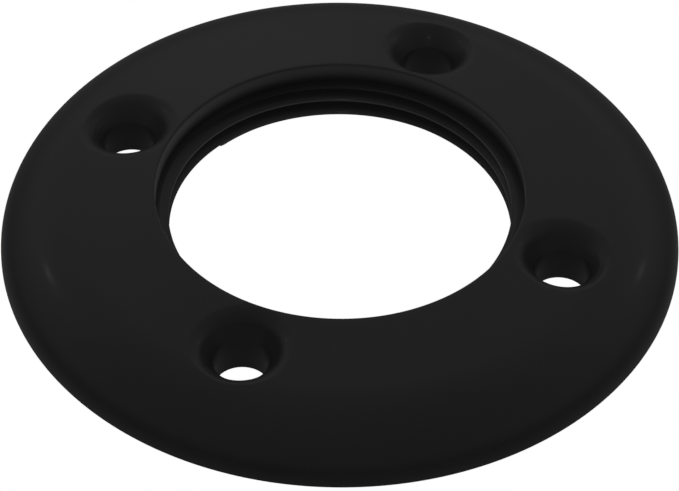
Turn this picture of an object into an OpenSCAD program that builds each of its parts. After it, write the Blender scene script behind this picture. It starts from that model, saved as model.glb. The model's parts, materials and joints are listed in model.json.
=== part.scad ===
// Toilet flange: a low domed ring that is screwed down through four countersunk
// holes. An outlet with a G 1 1/2 pipe thread screws into its bore from above.
// The underside is cored out between its walls, as a moulding of this thickness
// is, and a rubber ring in a groove near the edge seals it to what it sits on.
//
// The origin is the centre of the bore on the underside. +Z points out of the
// domed face.

/* [Flange] */
// Outside diameter
flange_d = 89; // [88:0.5:96]
// Height of the rim of the bore above the underside
rim_h = 8.2; // [7.8:0.1:9]
// Fall of the top face away from the bore, in degrees
top_slope = 4.2; // [3:0.1:4.5]
// Radius at which the top face starts to roll over into the shoulder
shoulder_r = 34.7; // [34.2:0.1:35.2]
// Radius of the tight curve at the foot of the shoulder
foot_curve_r = 5; // [4.5:0.25:5.5]
// Height of the upright edge below the shoulder
foot_h = 0.1; // [0.1:0.1:0.4]

/* [Bore and thread] */
// Diameter over the crests of the thread
crest_d = 44.85; // [44.6:0.05:45]
// Diameter at the roots of the thread
root_d = 47.8; // [47.4:0.05:47.85]
// Pitch of the thread, 11 turns to the inch
pitch = 2.309; // [2.2:0.001:2.4]
// Included angle of the thread form, in degrees
thread_angle = 55; // [50:1:58]
// Direction of the blunt lower end of the thread, in degrees
thread_end_a = 158; // [0:1:359]
// Diameter of the smooth lead-in above the thread
lead_in_d = 48.1; // [48:0.1:48.6]
// Height of the ledge where the lead-in ends and the thread begins
ledge_h = 5.3; // [5:0.1:5.6]
// Width of the chamfer round the lower end of the thread
bottom_chamfer = 0.7; // [0.5:0.1:1.2]
// Radius of the rounded rim of the bore
rim_round = 0.3; // [0.2:0.1:0.8]

/* [Screw holes] */
// Number of screw holes
screw_count = 4; // [3:1:4]
// Diameter of the circle that the screw holes lie on
screw_circle_d = 61.6; // [61:0.1:62.5]
// Diameter of a screw hole
screw_hole_d = 7; // [6.4:0.1:7.2]
// Diameter of the countersink at the top face
countersink_d = 11; // [10.4:0.1:11.6]
// Included angle of the countersink, in degrees
countersink_angle = 72; // [70:1:90]
// Wall left round each screw hole below the countersink
boss_wall = 2.7; // [2.3:0.1:2.9]

/* [Underside] */
// Wall left outside the roots of the thread
thread_wall = 3.3; // [3:0.1:3.5]
// Radial width of the cored pockets
pocket_w = 7.4; // [6.5:0.1:7.5]
// Depth of the cored pockets
pocket_depth = 4.6; // [3:0.1:4.8]
// Thickness of the ribs between the pockets
rib_t = 2; // [1.6:0.1:2.4]
// Angle from one rib to the next, in degrees
rib_step_a = 17.6; // [17:0.1:18]
// Ribs between two neighbouring screw holes
ribs_per_gap = 3; // [1:2:3]

/* [Seal] */
// Mean diameter of the seal and its groove
seal_d = 76; // [75.5:0.5:77]
// Radial width of the groove
groove_w = 3.2; // [3:0.1:3.4]
// Depth of the groove, which the fitted seal fills
groove_depth = 2; // [1.6:0.1:2.2]
// Clearance on each side of the seal in its groove
seal_clearance = 0.1; // [0.05:0.05:0.2]
// Bevel along the seal's four edges
seal_bevel = 0.4; // [0.2:0.1:0.6]

/* [Hidden] */
$fn = 180;

flange_r = flange_d / 2;
crest_r = crest_d / 2;
root_r = root_d / 2;
lead_in_r = lead_in_d / 2;
screw_r = screw_circle_d / 2;
past = 1;  // how far a cut runs past the face that it leaves through

// The shoulder is a wide arc that leaves the top face smoothly and runs into a
// tight one, which ends at the upright edge. The first of the wide arc, where
// the countersinks reach out past the top face, is cut straight as a narrow bevel.
function top_h(r) = rim_h - (r - lead_in_r) * tan(top_slope);
shoulder_start = [shoulder_r, top_h(shoulder_r)];
top_normal = [sin(top_slope), cos(top_slope)];
foot_centre = [flange_r - foot_curve_r, foot_h];
start_to_foot = shoulder_start - foot_centre;
shoulder_curve_r = (start_to_foot * start_to_foot - foot_curve_r ^ 2)
    / (2 * (start_to_foot * top_normal - foot_curve_r));
shoulder_centre = shoulder_start - shoulder_curve_r * top_normal;
bevel_end_r = screw_r + countersink_d / 2 + 0.4;
bevel_end = [
    bevel_end_r,
    shoulder_centre.y + sqrt(shoulder_curve_r ^ 2 - (bevel_end_r - shoulder_centre.x) ^ 2)
];
join = foot_centre
    + foot_curve_r * (foot_centre - shoulder_centre) / norm(foot_centre - shoulder_centre);

// The thread form: straight flanks that end in a narrow flat at the root.
root_flat = pitch / 16;
flank_slope = tan(thread_angle / 2);
cut_inner_r = crest_r - 0.25;
cut_inner_w = root_flat + 2 * (root_r - cut_inner_r) * flank_slope;
steps_per_turn = 60;
thread_turns = (ledge_h + cut_inner_w) / pitch;
thread_steps = ceil(thread_turns * steps_per_turn);

// The part of the section that lies between the walls x0 and x1, above h0.
module slice(x0, x1, h0) {
    translate([x0, h0]) square([x1 - x0, rim_h]);
}

// Half section of the ring, before anything is cut from it.
module ring_section() {
    polygon([
        [crest_r, bottom_chamfer],
        [crest_r + bottom_chamfer, 0],
        [bevel_end.x, 0],
        bevel_end,
        shoulder_start,
        [lead_in_r + rim_round, top_h(lead_in_r + rim_round)],
        [lead_in_r, top_h(lead_in_r) - rim_round],
        [lead_in_r, ledge_h],
        [crest_r, ledge_h]
    ]);
    translate([bevel_end.x, 0]) square([flange_r - bevel_end.x, foot_h]);
    intersection() {
        translate(shoulder_centre) circle(shoulder_curve_r);
        slice(bevel_end.x, join.x, foot_h);
    }
    intersection() {
        translate(foot_centre) circle(foot_curve_r);
        slice(join.x, flange_r, foot_h);
    }
}

// Helical groove of the thread, rising anticlockwise from its blunt lower end.
module thread_groove() {
    section = [
        [cut_inner_r, -cut_inner_w / 2],
        [root_r, -root_flat / 2],
        [root_r, root_flat / 2],
        [cut_inner_r, cut_inner_w / 2]
    ];
    corners = len(section);
    points = [
        for (i = [0:thread_steps])
            for (p = section)
                let (a = thread_end_a + 360 * i / steps_per_turn)
                [p.x * cos(a), p.x * sin(a), p.y + pitch * i / steps_per_turn]
    ];
    sides = [
        for (i = [0:thread_steps - 1])
            for (j = [0:corners - 1])
                let (a = i * corners + j, b = i * corners + (j + 1) % corners)
                for (face = [[a, b, b + corners], [a, b + corners, a + corners]])
                    face
    ];
    last = thread_steps * corners;
    polyhedron(points, concat([[3, 2, 1, 0]], [[last, last + 1, last + 2, last + 3]], sides));
}

module screw_hole() {
    sink_depth = (countersink_d - screw_hole_d) / 2 / tan(countersink_angle / 2);
    sink_over_r = past * tan(countersink_angle / 2);
    translate([0, 0, -past]) cylinder(d = screw_hole_d, h = rim_h + past);
    translate([0, 0, top_h(screw_r) - sink_depth])
        cylinder(r1 = screw_hole_d / 2, r2 = countersink_d / 2 + sink_over_r, h = sink_depth + past);
}

module on_screw_circle() {
    for (i = [0:screw_count - 1])
        rotate(360 * i / screw_count) translate([screw_r, 0, 0]) children();
}

// Pockets that leave the walls, the screw bosses and the ribs standing.
module cored_pockets() {
    pocket_r = root_r + thread_wall;
    difference() {
        translate([0, 0, -past])
            rotate_extrude() translate([pocket_r, 0]) square([pocket_w, pocket_depth + past]);
        on_screw_circle()
            translate([0, 0, -2 * past])
                cylinder(r = screw_hole_d / 2 + boss_wall, h = pocket_depth + 4 * past);
        for (i = [0:screw_count - 1])
            for (j = [0:ribs_per_gap - 1])
                rotate(360 * (i + 0.5) / screw_count + (j - (ribs_per_gap - 1) / 2) * rib_step_a)
                    translate([0, -rib_t / 2, -2 * past])
                        cube([flange_r, rib_t, pocket_depth + 4 * past]);
    }
}

module seal_groove() {
    rotate_extrude()
        translate([(seal_d - groove_w) / 2, -past]) square([groove_w, groove_depth + past]);
}

module flange_ring() {
    color([0.06, 0.06, 0.065])
        difference() {
            rotate_extrude() ring_section();
            thread_groove();
            on_screw_circle() screw_hole();
            cored_pockets();
            seal_groove();
        }
}

module seal_ring() {
    w = groove_w / 2 - seal_clearance;
    color([0.12, 0.12, 0.13])
        rotate_extrude()
            translate([seal_d / 2, 0])
                polygon([
                    [-w + seal_bevel, 0],
                    [w - seal_bevel, 0],
                    [w, seal_bevel],
                    [w, groove_depth - seal_bevel],
                    [w - seal_bevel, groove_depth],
                    [-w + seal_bevel, groove_depth],
                    [-w, groove_depth - seal_bevel],
                    [-w, seal_bevel]
                ]);
}

flange_ring();
seal_ring();
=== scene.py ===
import json
import math

import bmesh
import bpy
from mathutils import Matrix, Vector


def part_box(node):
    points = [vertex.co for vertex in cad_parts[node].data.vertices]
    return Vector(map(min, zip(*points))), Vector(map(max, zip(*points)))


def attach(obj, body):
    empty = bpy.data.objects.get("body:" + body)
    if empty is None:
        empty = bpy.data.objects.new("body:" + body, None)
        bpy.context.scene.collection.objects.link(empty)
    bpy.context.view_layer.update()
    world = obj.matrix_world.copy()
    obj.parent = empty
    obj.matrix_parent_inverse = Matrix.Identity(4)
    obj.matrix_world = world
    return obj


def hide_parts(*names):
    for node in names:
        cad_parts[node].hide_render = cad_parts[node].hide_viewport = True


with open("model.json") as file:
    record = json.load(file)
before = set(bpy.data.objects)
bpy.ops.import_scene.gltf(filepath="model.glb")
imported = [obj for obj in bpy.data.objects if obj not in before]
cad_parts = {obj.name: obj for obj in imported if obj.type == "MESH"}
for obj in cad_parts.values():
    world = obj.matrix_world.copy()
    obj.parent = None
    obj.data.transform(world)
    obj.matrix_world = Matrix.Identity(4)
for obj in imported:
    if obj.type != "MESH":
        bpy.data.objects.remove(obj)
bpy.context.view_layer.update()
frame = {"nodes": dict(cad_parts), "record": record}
mm = 0.001
print("frame loaded,", len(frame["nodes"]), "CAD nodes")


# ---- sizes that come from the CAD model, in millimetres ----

mounts = {mount["name"]: mount for mount in frame["record"]["mounts"]}
crestR = mounts["outlet_thread"]["dims"]["r_mm"]
screwCircleR = mounts["screw_holes"]["dims"]["pcd_mm"] / 2
holeR = mounts["screw_holes"]["dims"]["hole_r_mm"]
screwCount = mounts["screw_holes"]["dims"]["count"]
screwAngles = [360 * i / screwCount for i in range(screwCount)]
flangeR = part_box("flange_ring")[1][0] / mm
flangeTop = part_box("flange_ring")[1][2] / mm
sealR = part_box("seal_ring")[1][0] / mm
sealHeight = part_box("seal_ring")[1][2] / mm

flangeSetup = {
    "slope": 4.2,           # fall of the top face away from the bore, degrees
    "leadInR": 24.05,       # smooth wall above the thread
    "rimRound": 0.3,        # rounding of the rim of the bore
    "ledgeHeight": 5.3,     # where the lead-in ends and the thread begins
    "ledgeRound": 0.15,
    "shoulderStart": 34.7,  # where the top face rolls over
    "footCurve": 5.0,       # tight curve at the foot of the shoulder
    "footHeight": 0.1,      # upright edge below it
    "footRound": 0.08,
    "bottomChamfer": 0.7,   # lower end of the thread
    "sealWidth": 3.0,
    "sealClearance": 0.1,
    "grooveRound": 0.25,
    "segments": 256,
}
rimHeight = flangeTop + flangeSetup["rimRound"] * math.tan(math.radians(flangeSetup["slope"]))


def topHeight(radius):
    slope = math.radians(flangeSetup["slope"])
    return rimHeight - (radius - flangeSetup["leadInR"]) * math.tan(slope)


# ---- modelling helpers ----

def deselectAll():
    if bpy.context.object and bpy.context.object.mode != 'OBJECT':
        bpy.ops.object.mode_set(mode='OBJECT')
    bpy.ops.object.select_all(action='DESELECT')


def selectOnly(piece):
    deselectAll()
    piece.select_set(True)
    bpy.context.view_layer.objects.active = piece


def selectWhere(piece, test):  # in edit mode, selects the vertices that pass the test
    mesh = bmesh.from_edit_mesh(piece.data)
    for vertex in mesh.verts:
        vertex.select_set(test(vertex))
    mesh.select_flush(True)
    bmesh.update_edit_mesh(piece.data)


# Outlines are drawn in the XZ plane with a pen that starts as one vertex.
def startOutline(name, point):
    deselectAll()
    bpy.ops.mesh.primitive_plane_add(size=mm)
    bpy.context.object.name = name
    bpy.context.object.data.name = name
    bpy.ops.object.mode_set(mode='EDIT')
    bpy.ops.mesh.select_all(action='SELECT')
    bpy.ops.mesh.merge(type='CENTER')
    bpy.ops.transform.translate(value=(point[0] * mm, 0, point[1] * mm))
    return Vector(point)


def lineTo(pen, point, steps=1):
    end = Vector(point)
    step = (end - pen) * mm / steps
    for i in range(steps):
        bpy.ops.mesh.extrude_region_move(TRANSFORM_OT_translate={"value": (step.x, 0, step.y)})
    return end


def arcTo(pen, centre, sweep, steps):  # a positive sweep turns from +X towards +Z
    middle = Vector(centre)
    bpy.ops.mesh.spin(steps=steps, angle=math.radians(sweep),
                      center=(middle.x * mm, 0, middle.y * mm), axis=(0, 1, 0))
    return middle + Matrix.Rotation(math.radians(sweep), 2) @ (pen - middle)


def latheOutline(segments):  # spins the outline being drawn about the Z axis
    bpy.ops.mesh.select_all(action='SELECT')
    bpy.ops.mesh.remove_doubles(threshold=0.002 * mm)
    bpy.ops.mesh.select_all(action='SELECT')
    bpy.ops.mesh.spin(steps=segments, angle=math.tau, center=(0, 0, 0), axis=(0, 0, 1))
    return closeSkin()


def closeSkin():
    bpy.ops.mesh.select_all(action='SELECT')
    bpy.ops.mesh.remove_doubles(threshold=0.002 * mm)
    bpy.ops.mesh.normals_make_consistent(inside=False)
    bpy.ops.object.mode_set(mode='OBJECT')
    return bpy.context.object


def turnedCopies(piece, angles):  # one joined object with a copy of the piece at each angle
    copies = []
    for angle in angles:
        selectOnly(piece)
        bpy.ops.object.duplicate()
        copy = bpy.context.object
        copy.rotation_euler.z = math.radians(angle)
        bpy.ops.object.transform_apply(location=False, rotation=True, scale=False)
        copies.append(copy)
    bpy.data.objects.remove(piece)
    selectOnly(copies[0])
    for copy in copies:
        copy.select_set(True)
    bpy.ops.object.join()
    return bpy.context.object


def cutAway(piece, cutter):
    selectOnly(piece)
    cut = piece.modifiers.new("cut", 'BOOLEAN')
    cut.operation = 'DIFFERENCE'
    cut.solver = 'EXACT'
    cut.object = cutter
    bpy.ops.object.modifier_apply(modifier=cut.name)
    bpy.data.objects.remove(cutter)


# ---- camera ----

cameraSetup = {
    "azimuth": 23.0,       # degrees, looking along +Y at 0
    "elevation": 44.2,
    "roll": 0.43,
    "distance": 0.3404,    # metres from the point it looks at
    "lens": 137.6,
    "aim": (-0.00003, -0.0029, 0.0),  # from the origin, across and along the view
}


def makeCamera(setup):
    across = Matrix.Rotation(math.radians(setup["azimuth"]), 4, 'Z')
    tilt = Matrix.Rotation(math.radians(90 - setup["elevation"]), 4, 'X')
    roll = Matrix.Rotation(math.radians(setup["roll"]), 4, 'Z')
    back = across @ tilt @ Vector((0, 0, setup["distance"]))
    bpy.ops.object.camera_add()
    camera = bpy.context.object
    camera.name = "viewCamera"
    place = Matrix.Translation(across @ Vector(setup["aim"]) + back)
    camera.matrix_world = place @ across @ tilt @ roll
    camera.data.lens = setup["lens"]
    camera.data.sensor_width = 36
    camera.data.clip_start = 0.01
    bpy.context.scene.camera = camera


makeCamera(cameraSetup)
print("camera placed")


# ---- the flange ----

def drawFlange(setup):
    slope = setup["slope"]
    upright = Vector((math.sin(math.radians(slope)), math.cos(math.radians(slope))))
    # the wide shoulder arc meets the top face and the foot arc smoothly
    shoulderStart = Vector((setup["shoulderStart"], topHeight(setup["shoulderStart"])))
    footCentre = Vector((flangeR - setup["footCurve"], setup["footHeight"]))
    reach = shoulderStart - footCentre
    shoulderCurve = ((reach.dot(reach) - setup["footCurve"] ** 2)
                     / (2 * (reach.dot(upright) - setup["footCurve"])))
    shoulderCentre = shoulderStart - shoulderCurve * upright
    toFoot = footCentre - shoulderCentre
    footToJoin = math.degrees(math.atan2(toFoot.y, toFoot.x))

    grooveOut = sealR + setup["sealClearance"]
    grooveIn = sealR - setup["sealWidth"] - setup["sealClearance"]
    corner = setup["grooveRound"]
    edge = setup["footRound"]
    rimR = setup["leadInR"] + setup["rimRound"]
    rimCentre = Vector((rimR, topHeight(rimR) - setup["rimRound"] / upright.y))

    pen = startOutline("flangeBody", (crestR, setup["bottomChamfer"]))
    pen = lineTo(pen, (crestR + setup["bottomChamfer"], 0), 2)
    pen = lineTo(pen, (grooveIn, 0), 12)
    pen = lineTo(pen, (grooveIn, sealHeight - corner), 2)
    pen = arcTo(pen, (grooveIn + corner, sealHeight - corner), -90, 3)
    pen = lineTo(pen, (grooveOut - corner, sealHeight), 3)
    pen = arcTo(pen, (grooveOut - corner, sealHeight - corner), -90, 3)
    pen = lineTo(pen, (grooveOut, 0), 2)
    pen = lineTo(pen, (flangeR - edge, 0), 4)
    pen = arcTo(pen, (flangeR - edge, edge), 90, 3)
    pen = lineTo(pen, (flangeR, setup["footHeight"]))
    pen = arcTo(pen, footCentre, footToJoin, 10)
    pen = arcTo(pen, shoulderCentre, 90 - slope - footToJoin, 16)
    pen = lineTo(pen, rimCentre + setup["rimRound"] * upright, 14)
    pen = arcTo(pen, rimCentre, 90 + slope, 6)
    pen = lineTo(pen, (setup["leadInR"], setup["ledgeHeight"]), 3)
    pen = lineTo(pen, (crestR + setup["ledgeRound"], setup["ledgeHeight"]), 2)
    pen = arcTo(pen, (crestR + setup["ledgeRound"], setup["ledgeHeight"] - setup["ledgeRound"]), 90, 3)
    lineTo(pen, (crestR, setup["bottomChamfer"]), 8)
    return latheOutline(setup["segments"])


threadSetup = {
    "pitch": 2.309,
    "depth": 1.4785,       # crest to root
    "flankAngle": 27.5,    # each flank from square to the axis, degrees
    "rootRound": 0.317,
    "crestHalfGap": 1.05,  # half width of the groove where it opens at the crest
    "startAngle": 158.0,   # blunt lower end, degrees round from +X
    "crestRound": 0.17,    # how deep the rounding of the crests goes
    "overshoot": 0.3,      # how far the cutter reaches past the crest
    "flare": 0.04,         # how much wider it is there, on each side
    "runOut": 1.3,         # how far it rises past the ledge
    "stepsPerTurn": 96,
}


def makeThreadCutter(setup):
    flank = math.radians(setup["flankAngle"])
    rootR = crestR + setup["depth"]
    rootCentre = Vector((rootR - setup["rootRound"], 0))
    middleR = crestR + setup["depth"] / 2
    # the flank meets the root rounding at this point
    rootStart = rootCentre + setup["rootRound"] * Vector((math.sin(flank), math.cos(flank)))
    openR = crestR + setup["crestRound"]
    openHalf = setup["pitch"] / 4 + (middleR - openR) * math.tan(flank)
    halfAtCrest = setup["crestHalfGap"]
    innerR = crestR - setup["overshoot"]
    halfInside = halfAtCrest + setup["flare"]

    pen = startOutline("threadCutter", (innerR, -halfInside))
    pen = lineTo(pen, (crestR, -halfAtCrest))
    pen = lineTo(pen, (openR, -openHalf), 2)
    pen = lineTo(pen, (rootStart.x, -rootStart.y), 3)
    pen = arcTo(pen, rootCentre, 180 - 2 * setup["flankAngle"], 6)
    pen = lineTo(pen, (openR, openHalf), 3)
    pen = lineTo(pen, (crestR, halfAtCrest), 2)
    pen = lineTo(pen, (innerR, halfInside))
    lineTo(pen, (innerR, -halfInside))
    bpy.ops.mesh.select_all(action='SELECT')
    bpy.ops.mesh.remove_doubles(threshold=0.002 * mm)
    bpy.ops.object.mode_set(mode='OBJECT')

    cutter = bpy.context.object
    turns = (flangeSetup["ledgeHeight"] + setup["runOut"]) / setup["pitch"]
    helix = cutter.modifiers.new("helix", 'SCREW')
    helix.angle = math.tau * turns
    helix.screw_offset = setup["pitch"] * mm * turns
    helix.steps = helix.render_steps = round(setup["stepsPerTurn"] * turns)
    bpy.ops.object.modifier_apply(modifier=helix.name)
    cutter.rotation_euler.z = math.radians(setup["startAngle"])
    bpy.ops.object.transform_apply(location=False, rotation=True, scale=False)

    bpy.ops.object.mode_set(mode='EDIT')
    midHeight = setup["pitch"] * mm
    for isLower in (True, False):  # cap both ends
        selectWhere(cutter, lambda vertex: vertex.is_boundary and (vertex.co.z < midHeight) == isLower)
        bpy.ops.mesh.edge_face_add()
    return closeSkin()


sinkSetup = {
    "rimR": 5.55,         # where the cone would meet the top face
    "coneAngle": 36.0,    # from the hole's axis, degrees
    "rimRound": 2.6,      # soft curve from the cone into the top face
    "lift": 4.0,          # the rounding leaves the top face at this angle, degrees
    "tiltSteps": (0.35, 0.65, 0.9),  # heights up the cone where it leans over to the top face's slope
    "past": 1.0,          # how far the cutter runs past the underside and past its rounding
    "over": 3.0,          # and how far above the top face
    "segments": 96,
}


def makeSinkCutter(setup):
    surface = topHeight(screwCircleR)
    wallSlope = 90 - setup["coneAngle"]
    wall = math.radians(wallSlope)
    lift = math.radians(setup["lift"])
    tangent = setup["rimRound"] * math.tan(wall / 2)
    throat = surface - (setup["rimR"] - holeR) / math.tan(math.radians(setup["coneAngle"]))
    roundStart = Vector((setup["rimR"] - tangent * math.cos(wall), surface - tangent * math.sin(wall)))
    roundCentre = (setup["rimR"] + tangent, surface - setup["rimRound"])

    top = surface + setup["over"]
    pen = startOutline("sinkCutter", (0, -setup["past"]))
    pen = lineTo(pen, (holeR, -setup["past"]))
    pen = lineTo(pen, (holeR, throat), 5)
    pen = lineTo(pen, roundStart, 8)
    pen = arcTo(pen, roundCentre, setup["lift"] - wallSlope, 10)
    pen = lineTo(pen, pen + setup["past"] * Vector((math.cos(lift), math.sin(lift))), 2)
    pen = lineTo(pen, (pen.x, top))
    lineTo(pen, (0, top))
    cutter = latheOutline(setup["segments"])

    lean = math.radians(flangeSetup["slope"] / len(setup["tiltSteps"]))
    bpy.ops.object.mode_set(mode='EDIT')
    for share in setup["tiltSteps"]:
        level = (throat + (roundStart.y - throat) * share) * mm
        selectWhere(cutter, lambda vertex: vertex.co.z > level)
        bpy.ops.transform.rotate(value=-lean, orient_axis='Y', center_override=(0, 0, surface * mm))
    bpy.ops.mesh.select_all(action='SELECT')
    bpy.ops.transform.translate(value=(screwCircleR * mm, 0, 0))
    bpy.ops.object.mode_set(mode='OBJECT')
    return turnedCopies(cutter, screwAngles)


pocketSetup = {
    "innerR": 27.2,
    "outerR": 34.6,
    "depth": 4.6,
    "ribWidth": 2.0,
    "ribAngles": (27.4, 45.0, 62.6),  # between one screw hole and the next, degrees
    "ribMiddleR": 30.0,
    "ribLength": 20.0,     # runs past both walls of the pockets
    "past": 1.0,           # how far the cutter runs past the underside
    "bossR": 6.2,
    "cornerRound": 0.5,
    "segments": 144,
}


def makePocketCutter(setup):
    below = -setup["past"]
    pen = startOutline("pocketCutter", (setup["innerR"], below))
    for point in ((setup["outerR"], below), (setup["outerR"], setup["depth"]),
                  (setup["innerR"], setup["depth"]), (setup["innerR"], below)):
        pen = lineTo(pen, point)
    cutter = latheOutline(setup["segments"])

    tall = setup["depth"] + 4 * setup["past"]
    deselectAll()
    bpy.ops.mesh.primitive_cylinder_add(vertices=64, radius=setup["bossR"] * mm, depth=tall * mm,
                                        location=(screwCircleR * mm, 0, setup["depth"] / 2 * mm))
    bpy.ops.object.transform_apply(location=True, rotation=False, scale=False)
    bosses = turnedCopies(bpy.context.object, screwAngles)
    cutAway(cutter, bosses)

    deselectAll()
    bpy.ops.mesh.primitive_cube_add(size=mm, scale=(setup["ribLength"], setup["ribWidth"], tall),
                                    location=(setup["ribMiddleR"] * mm, 0, setup["depth"] / 2 * mm))
    bpy.ops.object.transform_apply(location=True, rotation=False, scale=True)
    ribAngles = [screw + rib for screw in screwAngles for rib in setup["ribAngles"]]
    ribs = turnedCopies(bpy.context.object, ribAngles)
    cutAway(cutter, ribs)

    selectOnly(cutter)
    soften = cutter.modifiers.new("soften", 'BEVEL')
    soften.width = setup["cornerRound"] * mm
    soften.segments = 3
    soften.limit_method = 'ANGLE'
    soften.angle_limit = math.radians(50)
    bpy.ops.object.modifier_apply(modifier=soften.name)
    return cutter


def makeFlange():
    flange = drawFlange(flangeSetup)
    print("flange turned,", len(flange.data.polygons), "faces")
    for makeCutter, setup in ((makeThreadCutter, threadSetup), (makeSinkCutter, sinkSetup),
                              (makePocketCutter, pocketSetup)):
        cutter = makeCutter(setup)
        cutAway(flange, cutter)
        print("cut by", makeCutter.__name__, len(flange.data.polygons), "faces")
    selectOnly(flange)
    bpy.ops.object.shade_smooth_by_angle(angle=math.radians(32))
    return flange


flangeBody = makeFlange()
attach(flangeBody, "root")
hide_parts("flange_ring")


# ---- the seal ----

sealSetup = {
    "cornerRound": 0.45,
    "segments": 192,
}


def makeSeal(setup):
    outer = sealR
    inner = sealR - flangeSetup["sealWidth"]
    bend = setup["cornerRound"]
    pen = startOutline("sealBody", (inner + bend, 0))
    pen = lineTo(pen, (outer - bend, 0), 3)
    pen = arcTo(pen, (outer - bend, bend), 90, 5)
    pen = lineTo(pen, (outer, sealHeight - bend), 2)
    pen = arcTo(pen, (outer - bend, sealHeight - bend), 90, 5)
    pen = lineTo(pen, (inner + bend, sealHeight), 3)
    pen = arcTo(pen, (inner + bend, sealHeight - bend), 90, 5)
    pen = lineTo(pen, (inner, bend), 2)
    arcTo(pen, (inner + bend, bend), 90, 5)
    seal = latheOutline(setup["segments"])
    bpy.ops.object.shade_smooth_by_angle(angle=math.radians(40))
    return seal


sealBody = makeSeal(sealSetup)
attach(sealBody, "root")
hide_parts("seal_ring")
print("seal made")


# ---- finishes ----

def makeGrainGroup():
    group = bpy.data.node_groups.new("mouldedGrain", 'ShaderNodeTree')
    for name, kind in (("Dark Colour", 'NodeSocketColor'), ("Light Colour", 'NodeSocketColor'),
                       ("Grain Size", 'NodeSocketFloat'), ("Grain Height", 'NodeSocketFloat'),
                       ("Roughness Low", 'NodeSocketFloat'), ("Roughness High", 'NodeSocketFloat'),
                       ("Edge", 'NodeSocketFloat'), ("Edge Wear", 'NodeSocketFloat')):
        group.interface.new_socket(name=name, in_out='INPUT', socket_type=kind)
    for name, kind in (("Colour", 'NodeSocketColor'), ("Roughness", 'NodeSocketFloat'),
                       ("Normal", 'NodeSocketVector')):
        group.interface.new_socket(name=name, in_out='OUTPUT', socket_type=kind)
    nodes, link = group.nodes, group.links.new
    inputs = nodes.new('NodeGroupInput')
    outputs = nodes.new('NodeGroupOutput')
    place = nodes.new('ShaderNodeTexCoord')

    cloud = nodes.new('ShaderNodeTexNoise')  # slow change of tone over the moulding
    cloud.inputs["Scale"].default_value = 70
    cloud.inputs["Detail"].default_value = 5
    link(place.outputs["Object"], cloud.inputs["Vector"])
    grain = nodes.new('ShaderNodeTexNoise')  # fine texture left by the mould
    grain.inputs["Detail"].default_value = 3
    grain.inputs["Roughness"].default_value = 0.6
    link(place.outputs["Object"], grain.inputs["Vector"])
    invert = nodes.new('ShaderNodeMath')
    invert.operation = 'DIVIDE'
    invert.inputs[0].default_value = 1
    link(inputs.outputs["Grain Size"], invert.inputs[1])
    link(invert.outputs[0], grain.inputs["Scale"])

    edge = nodes.new('ShaderNodeMapRange')  # rubbed edges
    edge.inputs["From Min"].default_value = 0.53
    edge.inputs["From Max"].default_value = 0.62
    link(inputs.outputs["Edge"], edge.inputs["Value"])
    broken = nodes.new('ShaderNodeMath')
    broken.operation = 'MULTIPLY'
    link(edge.outputs[0], broken.inputs[0])
    link(cloud.outputs["Fac"], broken.inputs[1])
    wear = nodes.new('ShaderNodeMath')
    wear.operation = 'MULTIPLY'
    link(broken.outputs[0], wear.inputs[0])
    link(inputs.outputs["Edge Wear"], wear.inputs[1])

    tone = nodes.new('ShaderNodeMapRange')
    tone.inputs["From Min"].default_value = 0.3
    tone.inputs["From Max"].default_value = 0.7
    link(cloud.outputs["Fac"], tone.inputs["Value"])
    toneAndWear = nodes.new('ShaderNodeMath')
    toneAndWear.operation = 'ADD'
    toneAndWear.use_clamp = True
    link(tone.outputs[0], toneAndWear.inputs[0])
    link(wear.outputs[0], toneAndWear.inputs[1])
    colour = nodes.new('ShaderNodeMix')
    colour.data_type = 'RGBA'
    link(toneAndWear.outputs[0], colour.inputs["Factor"])
    link(inputs.outputs["Dark Colour"], colour.inputs["A"])
    link(inputs.outputs["Light Colour"], colour.inputs["B"])
    link(colour.outputs["Result"], outputs.inputs["Colour"])

    mixed = nodes.new('ShaderNodeMath')
    mixed.operation = 'MULTIPLY_ADD'
    mixed.inputs[1].default_value = 0.5
    link(grain.outputs["Fac"], mixed.inputs[0])
    half = nodes.new('ShaderNodeMath')
    half.operation = 'MULTIPLY'
    half.inputs[1].default_value = 0.5
    link(cloud.outputs["Fac"], half.inputs[0])
    link(half.outputs[0], mixed.inputs[2])
    rough = nodes.new('ShaderNodeMapRange')
    rough.inputs["From Min"].default_value = 0.35
    rough.inputs["From Max"].default_value = 0.65
    link(mixed.outputs[0], rough.inputs["Value"])
    link(inputs.outputs["Roughness Low"], rough.inputs["To Min"])
    link(inputs.outputs["Roughness High"], rough.inputs["To Max"])
    link(rough.outputs[0], outputs.inputs["Roughness"])

    bump = nodes.new('ShaderNodeBump')
    bump.inputs["Strength"].default_value = 1
    link(inputs.outputs["Grain Height"], bump.inputs["Distance"])
    link(grain.outputs["Fac"], bump.inputs["Height"])
    link(bump.outputs["Normal"], outputs.inputs["Normal"])
    return group


grainGroup = makeGrainGroup()


def makeMoulded(name, setup):
    material = bpy.data.materials.new(name)
    material.use_nodes = True
    nodes, link = material.node_tree.nodes, material.node_tree.links.new
    shader = nodes["Principled BSDF"]
    shader.inputs["Specular IOR Level"].default_value = setup["specular"]
    shader.inputs["IOR"].default_value = setup["ior"]
    shader.inputs["Coat Weight"].default_value = setup["gloss"]
    shader.inputs["Coat Roughness"].default_value = setup["glossRoughness"]
    grain = nodes.new('ShaderNodeGroup')
    grain.node_tree = grainGroup
    for socket in ("Dark Colour", "Light Colour", "Grain Size", "Grain Height",
                   "Roughness Low", "Roughness High", "Edge Wear"):
        grain.inputs[socket].default_value = setup[socket]
    geometry = nodes.new('ShaderNodeNewGeometry')
    link(geometry.outputs["Pointiness"], grain.inputs["Edge"])
    link(grain.outputs["Colour"], shader.inputs["Base Color"])
    link(grain.outputs["Roughness"], shader.inputs["Roughness"])
    link(grain.outputs["Normal"], shader.inputs["Normal"])
    return material


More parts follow.
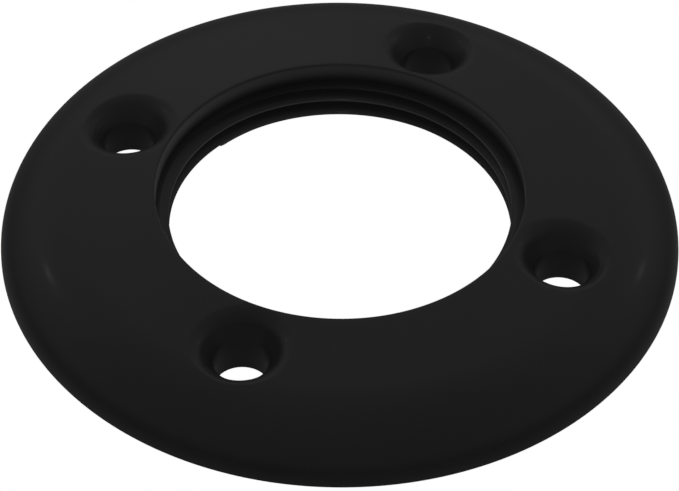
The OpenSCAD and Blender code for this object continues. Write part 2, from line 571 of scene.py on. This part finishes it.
blackPlastic = makeMoulded("blackPlastic", {
    "Dark Colour": (0.0255, 0.0257, 0.0262, 1),
    "Light Colour": (0.0325, 0.0326, 0.0330, 1),
    "Grain Size": 0.00028,
    "Grain Height": 0.000004,
    "Roughness Low": 0.46,
    "Roughness High": 0.54,
    "Edge Wear": 0.5,
    "specular": 0.44,
    "ior": 1.5,
    "gloss": 0.1,
    "glossRoughness": 0.16,
})
sealRubber = makeMoulded("sealRubber", {
    "Dark Colour": (0.012, 0.012, 0.012, 1),
    "Light Colour": (0.020, 0.020, 0.019, 1),
    "Grain Size": 0.00018,
    "Grain Height": 0.000010,
    "Roughness Low": 0.62,
    "Roughness High": 0.78,
    "Edge Wear": 0.2,
    "specular": 0.35,
    "ior": 1.5,
    "gloss": 0.0,
    "glossRoughness": 0.3,
})
for piece, material in ((flangeBody, blackPlastic), (sealBody, sealRubber)):
    piece.data.materials.clear()
    piece.data.materials.append(material)
print("finishes made")


# ---- floor, world and lights ----

floorSetup = {"width": 6, "gap": 0.0001}  # metres; the gap keeps it clear of the underside


def makeFloor():
    deselectAll()
    bpy.ops.mesh.primitive_plane_add(size=floorSetup["width"], location=(0, 0, -floorSetup["gap"]))
    floor = bpy.context.object
    floor.name = "floor"
    material = bpy.data.materials.new("paleFloor")
    material.use_nodes = True
    shader = material.node_tree.nodes["Principled BSDF"]
    shader.inputs["Base Color"].default_value = (0, 0, 0, 1)
    shader.inputs["Specular IOR Level"].default_value = 0
    shader.inputs["Emission Color"].default_value = (1, 1, 1, 1)
    shader.inputs["Emission Strength"].default_value = 1.0
    floor.visible_diffuse = False  # the floor shows pale but throws no light on the flange
    floor.visible_glossy = False
    floor.data.materials.append(material)


worldSetup = {  # brightness of the studio by height, from straight down at -1 to straight up at 1
    "heights": (-1, -0.5, 0, 0.35, 0.7, 1),
    "front": (0.16, 0.14, 0.01, 0.21, 0.09, 0.155),
    "back": (0.16, 0.18, 0.04, 0.315, 0.247, 0.17),
}


def makeWorld(setup):
    world = bpy.data.worlds.new("studio")
    bpy.context.scene.world = world
    world.use_nodes = True
    nodes, link = world.node_tree.nodes, world.node_tree.links.new
    place = nodes.new('ShaderNodeTexCoord')
    split = nodes.new('ShaderNodeSeparateXYZ')
    link(place.outputs["Generated"], split.inputs[0])
    height = nodes.new('ShaderNodeMapRange')
    height.inputs["From Min"].default_value = -1
    link(split.outputs["Z"], height.inputs["Value"])
    bearing = math.radians(cameraSetup["azimuth"])
    facing = nodes.new('ShaderNodeVectorMath')
    facing.operation = 'DOT_PRODUCT'
    facing.inputs[1].default_value = (-math.sin(bearing), math.cos(bearing), 0)
    link(place.outputs["Generated"], facing.inputs[0])
    toBack = nodes.new('ShaderNodeMapRange')
    toBack.inputs["From Min"].default_value = -1
    link(facing.outputs["Value"], toBack.inputs["Value"])
    blend = nodes.new('ShaderNodeMix')
    blend.data_type = 'RGBA'
    link(toBack.outputs[0], blend.inputs["Factor"])
    for side, socket in (("front", "A"), ("back", "B")):
        ramp = nodes.new('ShaderNodeValToRGB')
        stops = ramp.color_ramp.elements
        stops.remove(stops[1])
        for i, (z, brightness) in enumerate(zip(setup["heights"], setup[side])):
            stop = stops[0] if i == 0 else stops.new((z + 1) / 2)
            stop.position = (z + 1) / 2
            stop.color = (brightness, brightness, brightness, 1)
        link(height.outputs[0], ramp.inputs[0])
        link(ramp.outputs["Color"], blend.inputs[socket])
    link(blend.outputs["Result"], nodes["Background"].inputs["Color"])
    nodes["Background"].inputs["Strength"].default_value = 1


# Azimuths run anticlockwise from the camera's right, in degrees. Sizes are in metres, powers in watts.
lampSetup = {
    "leftLamp": {"azimuth": 149, "elevation": 33, "distance": 0.6, "size": 0.03, "power": 0.02},
    "rightLamp": {"azimuth": 30, "elevation": 26, "distance": 0.6, "size": 0.03, "power": 0.017},
    "backSoft": {"azimuth": 97, "elevation": 34, "distance": 0.8, "size": 0.2, "power": 0.03},
}
glowSetup = {"size": 0.042, "power": 0.0009}  # lights the walls of the bore from below
spotSetup = {
    "azimuth": -90, "elevation": 45, "distance": 0.6, "radius": 0.01, "power": 0.2,
    "coneAngle": 4.6,
    "aim": (0.004, 0.022, 0.004),  # across and along the view
}


def lampBearing(light):
    bearing = math.radians(light["azimuth"] + cameraSetup["azimuth"])
    height = math.radians(light["elevation"])
    return Vector((math.cos(bearing) * math.cos(height), math.sin(bearing) * math.cos(height),
                   math.sin(height)))


def makeDiskLamp(name, light, location, turn):
    bpy.ops.object.light_add(type='AREA', location=location)
    lamp = bpy.context.object
    lamp.name = name
    lamp.rotation_euler = turn
    lamp.data.shape = 'DISK'
    lamp.data.size = light["size"]
    lamp.data.energy = light["power"]


def makeLamps(setup):
    for name, light in setup.items():
        away = lampBearing(light)
        makeDiskLamp(name, light, away * light["distance"], away.to_track_quat('Z', 'Y').to_euler())


def makeSpot(light):  # lifts the far side of the bore out of the dark
    away = lampBearing(light)
    aim = Matrix.Rotation(math.radians(cameraSetup["azimuth"]), 3, 'Z') @ Vector(light["aim"])
    bpy.ops.object.light_add(type='SPOT', location=aim + away * light["distance"])
    lamp = bpy.context.object
    lamp.name = "boreSpot"
    lamp.rotation_euler = away.to_track_quat('Z', 'Y').to_euler()
    lamp.data.spot_size = math.radians(light["coneAngle"])
    lamp.data.spot_blend = 1
    lamp.data.shadow_soft_size = light["radius"]
    lamp.data.energy = light["power"]


makeFloor()
makeWorld(worldSetup)
makeLamps(lampSetup)
makeDiskLamp("boreGlow", glowSetup, (0, 0, 0), (math.pi, 0, 0))
makeSpot(spotSetup)
bpy.context.scene.view_settings.view_transform = 'Standard'
bpy.context.scene.view_settings.look = 'None'
print("studio ready")
